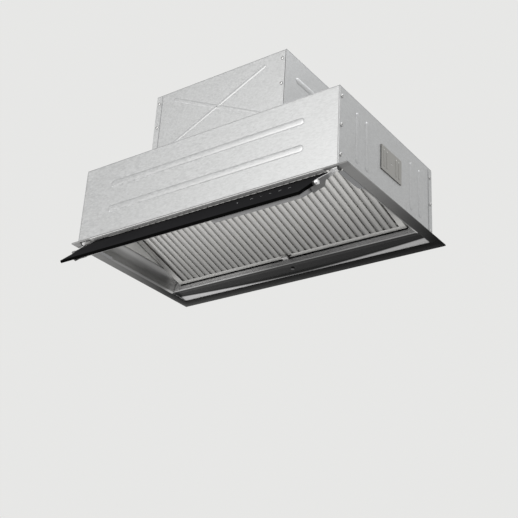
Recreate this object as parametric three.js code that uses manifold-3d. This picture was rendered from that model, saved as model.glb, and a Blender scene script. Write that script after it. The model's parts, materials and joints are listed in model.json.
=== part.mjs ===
// Built-in range hood whose black glass flap swings out of the underside of a wall cabinet.
// Millimetres. +X is right seen from the room, +Y towards the wall, +Z up.
// The origin is the centre of the underside, in the plane of the cabinet's lower edge.
import * as THREE from 'three';
import { mergeVertices } from 'three/addons/utils/BufferGeometryUtils.js';
import Module from 'manifold-3d';

const wasm = await Module();
wasm.setup();

// ---- Driving dimensions ----

// clearances
const fitGap = 0.3;             // between pieces that touch or are screwed together
const runGap = 0.5;             // round turning pieces

// lower frame
const frameWidth = 598;
const frameDepth = 340;
const frameSheet = 1.2;
const frameHem = 2.6;           // thickness of the folded outer edge
const frameHemWidth = 8;
const sideRail = 18.5;
const rearRail = 24;
const frontRail = 10;
const frontNotchRail = 2;       // what is left of the front rail where the arms turn
const frontNotchWidth = 25;
const cornerRadius = 3;

// folded sheet pieces inside the frame
const sheet = 1;
const cheekLip = 4.5;           // flat lip beside the frame, flush with it
const cheekRise = 30.5;
const cheekInset = 20;          // from the frame's side opening to the flat side above the cheek
const coverWidth = 10.5;
const coverSetback = 20;        // from the frame's front edge
const coverLength = 66;
const coverCorner = 8;
const ledgeGap = 1.5;           // from the filter's rear edge to the ledge that it locks behind
const ledgeLean = 1.5;
const trayFold = 3;
const trayTop = 14;
const trayReturn = 7;
const trayDish = 4.2;
const trayRamp = 7;
const trayFoldRun = 14;
const casingRearGap = 4.2;      // from the frame's rear inner edge to the casing
const gussetTop = 124;
const gussetTopLength = 90;
const gussetRearTop = 62;
const screwHeadRadius = 3.4;
const screwHeadHeight = 1.6;
const screwShankRadius = 1.8;
const screwShankLength = 7;
const trayScrewInset = 22;      // from the frame's rear inner edge

// grease filter
const filterInset = 40;         // from the frame's side edge
const filterDepth = 236;
const filterThickness = 13;
const filterSlope = 15.4;       // degrees
const filterSetback = 46.5;     // from the frame's rear inner edge to the filter's rear edge
const filterRearZ = 14.9;
const filterSheet = 0.8;
const slatPitch = 14;
const slatWidth = 9.4;
const slatRise = 4.5;
const filterRearStrip = 8;
const filterFrontStrip = 9;
const upperSlatWidth = 9;
const latchWidth = 12;
const latchOverlap = 0.9;       // of the tip past the foot of the ledge
const latchLength = 10;
const latchThickness = 1.6;
const latchRecessWidth = 10;
const latchGrip = 5;

// glass flap; its sizes run from the pivot axis along the glass and, as heights, to its back
const pivotZ = 1;
const openAngle = 136.8;        // degrees from shut to the open rest pose
const glassInset = 45.5;        // from the frame's side edge
const glassDepth = 108.2;
const glassThickness = 5;
const glassOverhang = 6;        // of the glass in front of the pivot axis
const glassOffset = 4.6;        // height of the middle of the glass
const glassChamfer = 0.8;
const housingWidth = 170;
const housingStart = 12;
const housingHeight = 8;
const housingToe = 6.4;
const housingSlope = 29;
const housingToeGap = 3;
const housingWall = 1.6;
const carrierSlope = 32;
const carrierToeGap = 12;
const boardThickness = 1.6;
const armThickness = 2.5;
const armClearance = 0.8;       // from the end of the glass
const armEyeRadius = 6;
const armBarrelRadius = 5;
const armFlare = 12;            // how far the arm bends out on its way to the pivot
const armFlareEnd = 8;
const armKink = 4.5;
const armKinkAlong = 26;
const armStraightEnd = 44;
const armLength = 62;
const armEndLean = 7;
const armNarrow = 9;
const armStepStart = 24.5;
const armStepEnd = 31;
const armTop = 1;
const armTabWidth = 16;
const armTabStart = 38;
const armTabLength = 14;
const armTabThickness = 1.5;
const studRadius = 3.9;
const studShankRadius = 2.2;
const studNeck = 0.6;
const studHead = 6.4;
const studAlong = 51.8;
const studRise = 4.1;
const pinRadius = 2.4;
const earThickness = 2.6;
const earHeight = 39;
const earNose = 5.5;
const sensorSize = 12;

// upper casing
const casingHeight = 150;
const motorBoxWidth = 300;
const motorBoxHeight = 140.4;
const motorBoxFrontGap = 30;    // from the frame's front edge
const motorBoxRearGap = 34;     // from the frame's rear edge
const motorBoxFlange = 10;
const frontPanelLow = 24;
const frontPanelLip = 10.5;
const lampWidth = 420;
const lampHeight = 14;
const lampDepth = 9;
const lensThickness = 2;
const hookBarHeight = 10;

// blower
const blowerSetback = 115;      // axis behind the motor box's front
const blowerRise = 34.4;        // axis above the motor box's foot
const wheelRadius = 74;
const wheelRim = 13;
const wheelHalfWidth = 48;
const wheelDisc = 2;
const wheelBlades = 36;
const bladeThickness = 1;
const bladeLean = 32;           // degrees
const scrollGap = 8;            // between wheel and scroll where the scroll starts
const scrollGrowth = 28;
const scrollStartAngle = 50;    // degrees, from the wall side upwards
const scrollSideGap = 14;
const scrollOutletInner = 45;   // from the blower axis to the outlet's front wall
const motorRadius = 40;
const motorLength = 52;
const shaftRadius = 4;
const bracketReach = 19;        // of the bracket's arms beyond the wheel's inlet
const bracketHub = 30;
const bracketArmWidth = 16;
const bracketThickness = 2.5;

// duct collar and its non-return flaps
const ductRadius = 75;
const ductSetback = 84;         // axis in front of the motor box's rear
const collarWall = 1.5;
const collarFlange = 15;
const collarFlangeThickness = 2;
const collarHeight = 56;
const seatWidth = 7;
const seatThickness = 1.5;
const damperClearance = 2.5;    // to the collar's bore
const damperThickness = 1.2;
const damperStart = 3.6;
const damperAxleRadius = 1.5;
const damperKnuckle = 3.1;
const damperKnuckleLength = 12;

// electrics and cabinet fixings
const unitWidth = 112;
const unitDepth = 62;
const unitHeight = 42;
const unitInset = 116.8;        // of its middle, from the casing's right side
const unitZ = 92;
const unitWall = 2;
const glandRadius = 9;
const glandHeight = 18;
const glandSideInset = 76.8;    // from the casing's right side
const glandInset = 54.2;        // from the casing's rear wall
const glandBore = 4.5;
const glandNutRim = 4;
const clampDepth = 70;
const clampHeight = 48;
const clampZ = 62;
const clampThickness = 1.6;

// ---- Finishes ----
const finish = (color, roughness, metalness) =>
  new THREE.MeshStandardMaterial({ color, roughness, metalness });
const steel = finish(0x8d8c89, 0.32, 1);
const darkSteel = finish(0x4a4b4c, 0.35, 1);
const slatSteel = finish(0xb3b2aa, 0.4, 1);
const polished = finish(0xd8d8d6, 0.12, 1);
const zinc = finish(0x9a9d9f, 0.45, 1);
const blackGlass = finish(0x0c0c0d, 0.05, 0);
const greyPlastic = finish(0x77787a, 0.5, 0);
const blackPlastic = finish(0x1d1d1f, 0.55, 0);
const diffuser = finish(0xf1f0ea, 0.4, 0);
const boardGreen = finish(0x1f5a3a, 0.5, 0);

// ---- Geometry helpers ----
const radians = THREE.MathUtils.degToRad;

function circle(u, v, radius, count = 24) {
  const points = [];
  for (let i = 0; i < count; i += 1) {
    const angle = (2 * Math.PI * i) / count;
    points.push([u + radius * Math.cos(angle), v + radius * Math.sin(angle)]);
  }
  return points;
}

function arc(u, v, radius, from, to, steps) {
  const points = [];
  for (let i = 0; i <= steps; i += 1) {
    const angle = radians(from + ((to - from) * i) / steps);
    points.push([u + radius * Math.cos(angle), v + radius * Math.sin(angle)]);
  }
  return points;
}

const rectangle = (u0, u1, v0, v1) => [[u0, v0], [u1, v0], [u1, v1], [u0, v1]];

function extrude(outline, depth, holes) {
  const vectors = (points) => points.map(([u, v]) => new THREE.Vector2(u, v));
  const shape = new THREE.Shape(vectors(outline));
  shape.holes = holes.map((hole) => new THREE.Path(vectors(hole)));
  return new THREE.ExtrudeGeometry(shape, { depth, bevelEnabled: false });
}

// outline in (x, y), raised from z0 to z1
const alongZ = (outline, z0, z1, holes = []) => extrude(outline, z1 - z0, holes).translate(0, 0, z0);

// outline in (y, z), drawn out from x0 to x1
function alongX(outline, x0, x1, holes = []) {
  const turn = new THREE.Matrix4().set(0, 0, 1, x0, 1, 0, 0, 0, 0, 1, 0, 0, 0, 0, 0, 1);
  return extrude(outline, x1 - x0, holes).applyMatrix4(turn);
}

// outline in (x, z), drawn out from y0 to y1
function alongY(outline, y0, y1, holes = []) {
  const turn = new THREE.Matrix4().set(1, 0, 0, 0, 0, 0, -1, y1, 0, 1, 0, 0, 0, 0, 0, 1);
  return extrude(outline, y1 - y0, holes).applyMatrix4(turn);
}

const block = (x0, x1, y0, y1, z0, z1) => alongZ(rectangle(x0, x1, y0, y1), z0, z1);

// closed outline of a sheet of the given thickness that follows a path, laid on the path's left
function folded(path, thickness) {
  const offset = path.map((point, i) => {
    const before = path[Math.max(i - 1, 0)];
    const after = path[Math.min(i + 1, path.length - 1)];
    const unit = (a, b) => {
      const length = Math.hypot(b[0] - a[0], b[1] - a[1]);
      return [(b[0] - a[0]) / length, (b[1] - a[1]) / length];
    };
    const into = i === 0 ? unit(point, after) : unit(before, point);
    const out = i === path.length - 1 ? unit(before, point) : unit(point, after);
    const normal = [-(into[1] + out[1]) / 2, (into[0] + out[0]) / 2];
    const stretch = thickness / (normal[0] ** 2 + normal[1] ** 2);
    return [point[0] + normal[0] * stretch, point[1] + normal[1] * stretch];
  });
  return [...path, ...offset.reverse()];
}

function toSolid(shape) {
  if (!shape.isBufferGeometry) return shape;
  const bare = shape.clone();
  bare.deleteAttribute('normal');
  bare.deleteAttribute('uv');
  const merged = mergeVertices(bare, 1e-4);
  return new wasm.Manifold(new wasm.Mesh({
    numProp: 3,
    vertProperties: new Float32Array(merged.attributes.position.array),
    triVerts: new Uint32Array(merged.index.array),
  }));
}

const join = (...shapes) => shapes.map(toSolid).reduce((whole, shape) => whole.add(shape));
const overlap = (one, other) => toSolid(one).intersect(toSolid(other));
const cut = (shape, ...tools) =>
  tools.map(toSolid).reduce((rest, tool) => rest.subtract(tool), toSolid(shape));

function toGeometry(shape) {
  if (shape.isBufferGeometry) return shape;
  const mesh = shape.getMesh();
  const geometry = new THREE.BufferGeometry();
  geometry.setAttribute('position', new THREE.BufferAttribute(new Float32Array(mesh.vertProperties), 3));
  geometry.setIndex(new THREE.BufferAttribute(new Uint32Array(mesh.triVerts), 1));
  geometry.computeVertexNormals();
  return geometry;
}

const hood = new THREE.Group();

function piece(name, shape, material, parent = hood) {
  const mesh = new THREE.Mesh(toGeometry(shape), material);
  mesh.name = name;
  parent.add(mesh);
  return mesh;
}

// a shape for the right-hand side, turned over to the left where side is -1
function handed(shape, side) {
  if (side === 1) return shape;
  return toSolid(shape).mirror([1, 0, 0]);
}

const sides = [['left', -1], ['right', 1]];

// ---- Lower frame: one pressed sheet with a folded outer edge ----
const halfWidth = frameWidth / 2;
const halfDepth = frameDepth / 2;
const openX = halfWidth - sideRail;
const openRear = halfDepth - rearRail;
const openFront = -halfDepth + frontRail;
const notchFront = -halfDepth + frontNotchRail;
const notchX = openX - frontNotchWidth;

const opening = [
  [-openX, notchFront], [-notchX, notchFront], [-notchX, openFront],
  [notchX, openFront], [notchX, notchFront], [openX, notchFront],
  ...arc(openX - cornerRadius, openRear - cornerRadius, cornerRadius, 0, 90, 4),
  ...arc(-openX + cornerRadius, openRear - cornerRadius, cornerRadius, 90, 180, 4),
];
const outer = rectangle(-halfWidth, halfWidth, -halfDepth, halfDepth);
const hemInner = rectangle(
  -halfWidth + frameHemWidth, halfWidth - frameHemWidth, notchFront, halfDepth - frameHemWidth,
);
const coverFront = -halfDepth + coverSetback;
const coverRear = coverFront + coverLength;
piece('underframe', join(
  alongZ(outer, 0, frameSheet, [opening]),
  alongZ(outer, 0, frameHem, [hemInner]),
), steel);

// ---- Side cheeks: coved sheets that rise from the side rails ----
const seamX = openX - cheekInset;
const filterRearY = openRear - filterSetback;
const trayFront = filterRearY + ledgeGap;
const cheekSteps = 10;
const cheekCove = Array.from({ length: cheekSteps + 1 }, (_, i) => {
  const angle = radians((90 * i) / cheekSteps);
  return [seamX + (cheekInset - cheekLip) * Math.cos(angle), cheekRise * Math.sin(angle)];
});
const cheekPath = [...cheekCove.reverse(), [openX - fitGap, 0]];
const casingInner = openX + fitGap;
for (const [side, sign] of sides) {
  const cheek = alongY(folded(cheekPath, sheet), coverRear + fitGap, trayFront - cheekLip);
  piece(`cheek_${side}`, handed(cheek, sign), steel);
}

// ---- Gussets: flat sides of the filter bay, above the cheeks ----
const gussetTopRear = coverFront + gussetTopLength;
const gussetFoot = cheekRise + sheet + fitGap;
const gussetOutline = [
  [coverFront, gussetFoot], [openRear, gussetFoot],
  [openRear, gussetRearTop], [gussetTopRear, gussetTop], [coverFront, gussetTop],
];
for (const [side, sign] of sides) {
  const gusset = join(
    alongX(gussetOutline, seamX, seamX + sheet),
    block(seamX, casingInner - fitGap, coverFront, gussetTopRear, gussetTop - sheet, gussetTop),
  );
  piece(`gusset_${side}`, handed(gusset, sign), steel);
}

// ---- Hinge covers: flush plates over the front corners, flanged up beside the casing ----
for (const [side, sign] of sides) {
  const outerX = openX - fitGap;
  const innerX = openX - coverWidth;
  const cover = join(
    alongZ([
      [innerX, coverFront], [outerX, coverFront], [outerX, coverRear],
      ...arc(innerX + coverCorner, coverRear - coverCorner, coverCorner, 90, 180, 5),
    ], 0, sheet),
    block(outerX - sheet, outerX, coverFront, coverRear, 0, coverCorner * 2),
  );
  piece(`hinge_cover_${side}`, handed(cover, sign), steel);
}

// ---- Rear tray: dished panel behind the filter, folded up to the ledge the latch holds on ----
const trayHalf = openX - fitGap;
const trayScrewY = openRear - trayScrewInset;
const rearWallY = openRear + casingRearGap;
const onFrame = frameSheet + fitGap;
const trayPath = [
  [rearWallY - fitGap, onFrame], [openRear - sheet, onFrame],
  [openRear - sheet - trayRamp, trayDish], [trayFront + trayFoldRun, trayDish], [trayFront, trayFold],
  [trayFront + ledgeLean, trayTop], [trayFront + ledgeLean + trayReturn, trayTop],
];
const trayScrewHole = alongZ(circle(0, trayScrewY, screwShankRadius + fitGap, 12), 0, trayTop);
piece('rear_tray', cut(
  alongX(folded(trayPath, -sheet), -trayHalf, trayHalf),
  trayScrewHole,
), darkSteel);
const trayScrewZ = trayDish - fitGap;
piece('tray_screw', join(
  alongZ(circle(0, trayScrewY, screwHeadRadius, 16), trayScrewZ - screwHeadHeight, trayScrewZ),
  alongZ(circle(0, trayScrewY, screwShankRadius, 12), trayScrewZ - screwHeadHeight / 2,
    trayScrewZ + screwShankLength),
), polished);

// ---- Casing: the box inside the cabinet, folded sheets screwed corner to corner ----
const casingFront = -halfDepth + fitGap;
const casingFrontInner = casingFront + sheet;
const sideOuter = casingInner + sheet;
const casingRear = rearWallY + sheet;
const clampMid = clampZ + clampHeight / 2;
const clampHole = alongX(circle(0, clampMid, screwShankRadius + fitGap, 12),
  casingInner - sheet, sideOuter + sheet);
for (const [side, sign] of sides) {
  const wall = block(casingInner, sideOuter, casingFront, casingRear, onFrame, casingHeight);
  const frontStep = block(
    casingInner, sideOuter, casingFront, casingFront + frameHemWidth, 0, frameHem + fitGap,
  );
  piece(`casing_side_${side}`, handed(cut(wall, clampHole, frontStep), sign), zinc);
}
const betweenSides = casingInner - fitGap;
piece('casing_front', block(-betweenSides, betweenSides, casingFront, casingFrontInner,
  frameHem + fitGap, casingHeight), zinc);
piece('casing_rear', block(-betweenSides, betweenSides, rearWallY, casingRear, onFrame, casingHeight), zinc);

const topZ = casingHeight + fitGap;
const boxHalf = motorBoxWidth / 2;
const motorBoxFront = -halfDepth + motorBoxFrontGap;
const motorBoxRear = halfDepth - motorBoxRearGap;
const glandY = rearWallY - glandInset;
const glandX = sideOuter - glandSideInset;
const glandHole = circle(glandX, glandY, glandRadius + fitGap);
piece('casing_top', alongZ(rectangle(-sideOuter, sideOuter, casingFront, casingRear), topZ, topZ + sheet, [
  rectangle(-boxHalf + motorBoxFlange, boxHalf - motorBoxFlange,
    motorBoxFront + motorBoxFlange, motorBoxRear - motorBoxFlange),
  glandHole,
]), zinc);

// ---- Motor box: stands on the casing's top and carries the duct collar ----
const boxFoot = topZ + sheet + fitGap;
const motorBoxTop = boxFoot + motorBoxHeight;
const boxUnderTop = motorBoxTop - sheet - fitGap;
for (const [side, sign] of sides) {
  piece(`motor_box_${side}`, handed(join(
    block(boxHalf - sheet, boxHalf, motorBoxFront, motorBoxRear, boxFoot, boxUnderTop),
    block(boxHalf - sheet, boxHalf + motorBoxFlange, motorBoxFront, motorBoxRear, boxFoot, boxFoot + sheet),
  ), sign), zinc);
}
const boxInner = boxHalf - sheet - fitGap;
piece('motor_box_front', block(-boxInner, boxInner, motorBoxFront, motorBoxFront + sheet,
  boxFoot, boxUnderTop), zinc);
piece('motor_box_rear', block(-boxInner, boxInner, motorBoxRear - sheet, motorBoxRear,
  boxFoot, boxUnderTop), zinc);
const ductBore = ductRadius - collarWall;
const ductY = motorBoxRear - ductSetback;
piece('motor_box_top', alongZ(rectangle(-boxHalf, boxHalf, motorBoxFront, motorBoxRear),
  motorBoxTop - sheet, motorBoxTop, [circle(0, ductY, ductBore, 48)]), zinc);

// ---- Front panel: slopes from the casing's front to the filter's upper edge; it holds the lamp ----
const slope = radians(filterSlope);
const filterFrontY = filterRearY - filterDepth * Math.cos(slope);
const filterFrontZ = filterRearZ + filterDepth * Math.sin(slope);
const panelX = seamX - fitGap;
const panelTop = [filterFrontY - sheet - 2 * fitGap, filterFrontZ - 2 * fitGap - sheet];
const panelLow = [casingFrontInner + fitGap, frontPanelLow];
piece('front_panel', alongX(folded([
  [panelLow[0], frontPanelLow + frontPanelLip], panelLow, panelTop,
  [panelTop[0], panelTop[1] + hookBarHeight],
], sheet), -panelX, panelX), steel);
const hookY = panelTop[0] + sheet + fitGap;
piece('filter_ledge', alongX(folded([
  [hookY, panelTop[1] + hookBarHeight], [hookY, panelTop[1]], [filterFrontY + 2 * sheet, panelTop[1]],
], -sheet / 2), -panelX, panelX), steel);

const panelAngle = Math.atan2(panelTop[1] - panelLow[1], panelTop[0] - panelLow[0]);
const lamp = new THREE.Group();
lamp.position.set(0, (panelLow[0] + panelTop[0]) / 2, (panelLow[1] + panelTop[1]) / 2);
lamp.rotation.x = panelAngle;
hood.add(lamp);
const lampHalf = lampWidth / 2;
const lampFoot = -fitGap;
piece('lamp_bar', cut(
  block(-lampHalf, lampHalf, -lampHeight / 2, lampHeight / 2, lampFoot - lampDepth, lampFoot),
  block(-lampHalf + lensThickness, lampHalf - lensThickness, -lampHeight / 2 + lensThickness,
    lampHeight / 2 - lensThickness, lampFoot - lampDepth - 1, lampFoot - lensThickness),
), zinc, lamp);
piece('lamp_lens', block(
  -lampHalf + lensThickness + fitGap, lampHalf - lensThickness - fitGap,
  -lampHeight / 2 + lensThickness + fitGap, lampHeight / 2 - lensThickness - fitGap,
  lampFoot - lampDepth, lampFoot - lampDepth + lensThickness,
), diffuser, lamp);

// ---- Grease filter: two rows of channels in a folded frame, sloping down to the rear ----
const filter = new THREE.Group();
filter.position.set(0, filterRearY, filterRearZ);
filter.rotation.x = -slope;
hood.add(filter);
const filterHalf = halfWidth - filterInset;
const slatCount = Math.floor((2 * filterHalf - 2 * fitGap) / slatPitch) - 1;
const sideStrip = filterHalf - ((slatCount + 1) * slatPitch - slatWidth) / 2;
const filterOuter = rectangle(-filterHalf, filterHalf, -filterDepth, 0);
const inset = (side, front, rear) => rectangle(
  -filterHalf + side, filterHalf - side, -filterDepth + front, -rear,
);
const latchRecess = block(latchWidth / 2 + fitGap, latchWidth / 2 + latchRecessWidth,
  -filterRearStrip + filterSheet, -filterSheet * 2, -1, filterSheet + 1);
piece('filter_frame', cut(join(
  alongZ(filterOuter, 0, filterSheet, [inset(sideStrip, filterFrontStrip, filterRearStrip)]),
  alongZ(filterOuter, 0, filterThickness, [inset(filterSheet, filterSheet, filterSheet)]),
  alongZ(filterOuter, filterThickness - filterSheet, filterThickness,
    [inset(filterRearStrip, filterFrontStrip, filterRearStrip)]),
), latchRecess), slatSteel, filter);

const channel = (width, foot, rise, y0, y1, up) => {
  const base = up ? foot : foot + rise;
  const end = up ? foot + rise : foot;
  const path = [[-width / 2, end], [-width / 2, base], [width / 2, base], [width / 2, end]];
  return alongY(folded(path, up ? filterSheet : -filterSheet), y0, y1);
};
const slatX = (i, count) => (i - (count - 1) / 2) * slatPitch;
const strapX = filterHalf - filterSheet - fitGap;
const strapZ = filterSheet + fitGap;
function slatRow(count, width, foot, up, strapLow) {
  const y0 = -filterDepth + filterFrontStrip + fitGap;
  const y1 = -filterRearStrip - fitGap;
  const row = [
    block(-strapX, strapX, -filterDepth + filterSheet + fitGap, y0 + filterRearStrip,
      strapLow, strapLow + filterSheet),
    block(-strapX, strapX, y1 - filterRearStrip, -filterSheet - fitGap, strapLow, strapLow + filterSheet),
  ];
  for (let i = 0; i < count; i += 1) {
    row.push(channel(width, foot, slatRise, y0, y1, up).translate(slatX(i, count), 0, 0));
  }
  return join(...row);
}
piece('filter_face', slatRow(slatCount, slatWidth, 0, true, strapZ), slatSteel, filter);
const upperFoot = filterThickness - filterSheet - fitGap - slatRise - filterSheet;
piece('filter_baffles', slatRow(slatCount + 1, upperSlatWidth, upperFoot, false,
  upperFoot + slatRise - filterSheet), slatSteel, filter);

const latchHalf = latchWidth / 2;
const latchReach = ledgeGap + latchOverlap;
piece('filter_latch', join(
  block(-latchHalf, latchHalf, latchReach - latchLength, latchReach, -fitGap - latchThickness, -fitGap),
  block(-latchHalf, latchHalf, latchReach - latchLength, latchReach - latchLength + latchThickness,
    -fitGap - latchGrip, -fitGap),
), polished, filter);

// ---- Glass flap: hangs on two arms that turn on pins in the frame's front corners ----
const pivotY = openFront;
const flap = new THREE.Group();
flap.position.set(0, pivotY, pivotZ);
flap.rotation.x = -radians(openAngle);
hood.add(flap);
const glassHalf = halfWidth - glassInset;
const glassStart = -glassOverhang;
const glassEnd = glassStart + glassDepth;
const faceZ = glassOffset - glassThickness / 2;
const glassBack = glassOffset + glassThickness / 2;
const g = glassChamfer;
piece('flap_glass', alongX([
  [glassStart + g, faceZ], [glassEnd - g, faceZ], [glassEnd, faceZ + g],
  [glassEnd, glassBack - g], [glassEnd - g, glassBack], [glassStart + g, glassBack],
  [glassStart, glassBack - g], [glassStart, faceZ + g],
], -glassHalf, glassHalf), blackGlass, flap);

const backZ = glassBack + fitGap;
const backTop = backZ + housingHeight;
const housingEnd = glassEnd - housingToeGap;
const housingSlopeStart = housingEnd - housingSlope;
const backX = glassHalf - sheet;
const housingLeft = backX - housingWidth;
const w = housingWall;
piece('control_housing', cut(
  alongX([
    [housingStart, backZ], [housingEnd, backZ], [housingEnd, backZ + housingToe],
    [housingSlopeStart, backTop], [housingStart, backTop],
  ], housingLeft, backX),
  alongX([
    [housingStart + w, backZ - 1], [housingEnd - w, backZ - 1], [housingEnd - w, backZ + housingToe - w],
    [housingSlopeStart, backTop - w], [housingStart + w, backTop - w],
  ], housingLeft + w, backX - w),
), greyPlastic, flap);
piece('control_board', block(housingLeft + w + fitGap, backX - w - fitGap, housingStart + w + fitGap,
  housingEnd - w - fitGap, backZ, backZ + boardThickness), boardGreen, flap);

const carrierEnd = glassEnd - carrierToeGap;
const carrierFlatEnd = carrierEnd - carrierSlope;
const carrierPath = [
  [housingStart, backZ], [housingStart, backTop], [carrierFlatEnd, backTop], [carrierEnd, backZ + 2 * sheet],
];
piece('flap_carrier', join(
  alongX(folded(carrierPath, -sheet), -backX, housingLeft - fitGap),
  alongX([...carrierPath, [carrierEnd, backZ]], -backX, -backX + sheet),
), darkSteel, flap);

const armInner = glassHalf + armClearance;
const armOuter = armInner + armThickness;
const armEyeX = armInner + armFlare;
const earOuter = casingInner - 2 * fitGap;
const earInner = earOuter - earThickness;
const barrelEnd = earInner - runGap;
const tabZ = backTop + fitGap;
const armLow = tabZ + armTabThickness;
const armEnd = armLength + armEndLean;
const armOutline = [
  ...arc(0, 0, armEyeRadius, 90, 250, 8), [2 * armEyeRadius, armTop],
  [studAlong + studRadius, armTop], [studAlong + studRadius, glassBack], [armEnd, glassBack],
  [armLength, armLow], [armStepEnd, armLow], [armStepStart, armNarrow],
];
// the arm's sheet seen from its edge: straight along the glass, then bent out to the pivot
const armSheet = folded([
  [armInner, armEnd + 1], [armInner, armStraightEnd], [armInner + armKink, armKinkAlong],
  [armEyeX, armFlareEnd], [armEyeX, -armEnd],
], armThickness);
for (const [side, sign] of sides) {
  const arm = cut(
    join(
      overlap(alongX(armOutline, armInner, armEyeX + armThickness), alongZ(armSheet, -armEnd, armEnd)),
      alongX(circle(0, 0, armBarrelRadius, 24), armEyeX, barrelEnd),
      block(armInner - armTabWidth, armOuter, armTabStart, armTabStart + armTabLength, tabZ, armLow),
    ),
    alongX(circle(0, 0, pinRadius + runGap, 24), armEyeX + sheet, barrelEnd + 1),
    alongX(circle(studAlong, studRise, studShankRadius + fitGap, 20), armInner - 1, armOuter + 1),
  );
  piece(`arm_${side}`, handed(arm, sign), polished, flap);
  const studFoot = armOuter + studNeck;
  const stud = join(
    alongX(circle(studAlong, studRise, studShankRadius, 20), armInner + fitGap, studFoot + 1),
    alongX(circle(studAlong, studRise, studRadius, 24), studFoot, studFoot + studHead),
  );
  piece(`clamp_stud_${side}`, handed(stud, sign), polished, flap);
}

// ---- Pivots: a pin through a nosed ear beside each front corner ----
for (const [side, sign] of sides) {
  const ear = cut(
    alongX([
      ...arc(pivotY, pivotZ, earNose, 180, 360, 8),
      [pivotY + earNose, pivotZ + earHeight], [pivotY - earNose, pivotZ + earHeight],
    ], earInner, earOuter),
    alongX(circle(pivotY, pivotZ, pinRadius + fitGap, 24), earInner - 1, earOuter + 1),
  );
  piece(`pivot_ear_${side}`, handed(ear, sign), polished);
  const pin = alongX(circle(pivotY, pivotZ, pinRadius, 24), armEyeX + sheet + runGap, earOuter);
  piece(`pivot_pin_${side}`, handed(pin, sign), zinc);
}
const sensorZ = 2 * coverCorner + fitGap;
piece('flap_sensor', block(-earOuter, -earOuter + sensorSize, coverFront + fitGap,
  coverFront + sensorSize, sensorZ, sensorZ + sensorSize), blackPlastic);

// ---- Blower: a double-inlet wheel in a steel scroll that blows up into the duct ----
const blowerY = motorBoxFront + blowerSetback;
const blowerZ = boxFoot + blowerRise;
const wheelInner = wheelRadius - wheelRim;
const scrollStartRadius = wheelRadius + scrollGap;
const scrollEndRadius = scrollStartRadius + scrollGrowth;
const scrollHalfWidth = wheelHalfWidth + scrollSideGap;
const scrollTop = boxUnderTop - fitGap;
const scrollRadius = (angle) => scrollStartRadius
  + ((scrollEndRadius - scrollStartRadius) * (angle - scrollStartAngle)) / (360 - scrollStartAngle);
function scrollPath(extra) {
  const path = [[blowerY + scrollOutletInner - extra, scrollTop]];
  const steps = 24;
  for (let i = 0; i <= steps; i += 1) {
    const angle = scrollStartAngle + ((360 - scrollStartAngle) * i) / steps;
    const radius = scrollRadius(angle) + extra;
    path.push([blowerY + radius * Math.cos(radians(angle)), blowerZ + radius * Math.sin(radians(angle))]);
  }
  path.push([blowerY + scrollEndRadius + extra, scrollTop]);
  return path;
}
piece('scroll_band', alongX(folded(scrollPath(0), -sheet), -scrollHalfWidth, scrollHalfWidth), zinc);
const sideIn = scrollHalfWidth + fitGap;
for (const [side, sign] of sides) {
  const inlet = circle(blowerY, blowerZ, wheelInner + sheet, 36);
  const plate = alongX(scrollPath(2 * sheet), sideIn, sideIn + sheet, [inlet]);
  piece(`scroll_side_${side}`, handed(plate, sign), zinc);
}

const bladeMiddle = (wheelRadius + wheelInner) / 2;
const bladeChord = wheelRim / Math.cos(radians(bladeLean)) - 2 * bladeThickness;
const wheel = [
  alongX(circle(0, 0, wheelRadius, 48), -wheelDisc / 2, wheelDisc / 2),
  alongX(
    circle(0, 0, wheelRadius, 48), wheelHalfWidth - wheelDisc, wheelHalfWidth,
    [circle(0, 0, wheelInner, 48)],
  ),
  alongX(circle(0, 0, wheelRadius, 48), -wheelHalfWidth, -wheelHalfWidth + wheelDisc,
    [circle(0, 0, wheelInner, 48)]),
  alongX(circle(0, 0, shaftRadius * 3, 24), -wheelDisc, shaftRadius * 3),
];
for (let i = 0; i < wheelBlades; i += 1) {
  const blade = new THREE.BoxGeometry(2 * wheelHalfWidth - wheelDisc, bladeChord, bladeThickness);
  blade.rotateX(radians(bladeLean)).translate(0, bladeMiddle, 0).rotateX((2 * Math.PI * i) / wheelBlades);
  wheel.push(blade);
}
const shaftHole = alongX(circle(0, 0, shaftRadius + fitGap, 24), -scrollHalfWidth, scrollHalfWidth);
const blowerWheel = piece('blower_wheel', cut(join(...wheel), shaftHole), blackPlastic);
blowerWheel.position.set(0, blowerY, blowerZ);

const motorFront = -wheelDisc * 3;
const stubEnd = -sideIn - sheet;
const motor = piece('motor', join(
  alongX(circle(0, 0, motorRadius, 36), motorFront - motorLength, motorFront),
  alongX(circle(0, 0, motorRadius / 2, 24), stubEnd, motorFront - motorLength / 2),
  alongX(circle(0, 0, shaftRadius, 24), motorFront - 1, shaftRadius * 3),
), zinc);
motor.position.set(0, blowerY, blowerZ);

const bracketX = stubEnd - fitGap;
const bracketRadius = wheelInner + bracketReach;
const star = [alongX(circle(0, 0, bracketHub, 24), bracketX - bracketThickness, bracketX)];
for (const turn of [90, 210, 330]) {
  star.push(block(bracketX - bracketThickness, bracketX, 0, bracketRadius,
    -bracketArmWidth / 2, bracketArmWidth / 2).rotateX(radians(turn)));
}
const bracket = piece('motor_bracket', join(...star), zinc);
bracket.position.set(0, blowerY, blowerZ);

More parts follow.
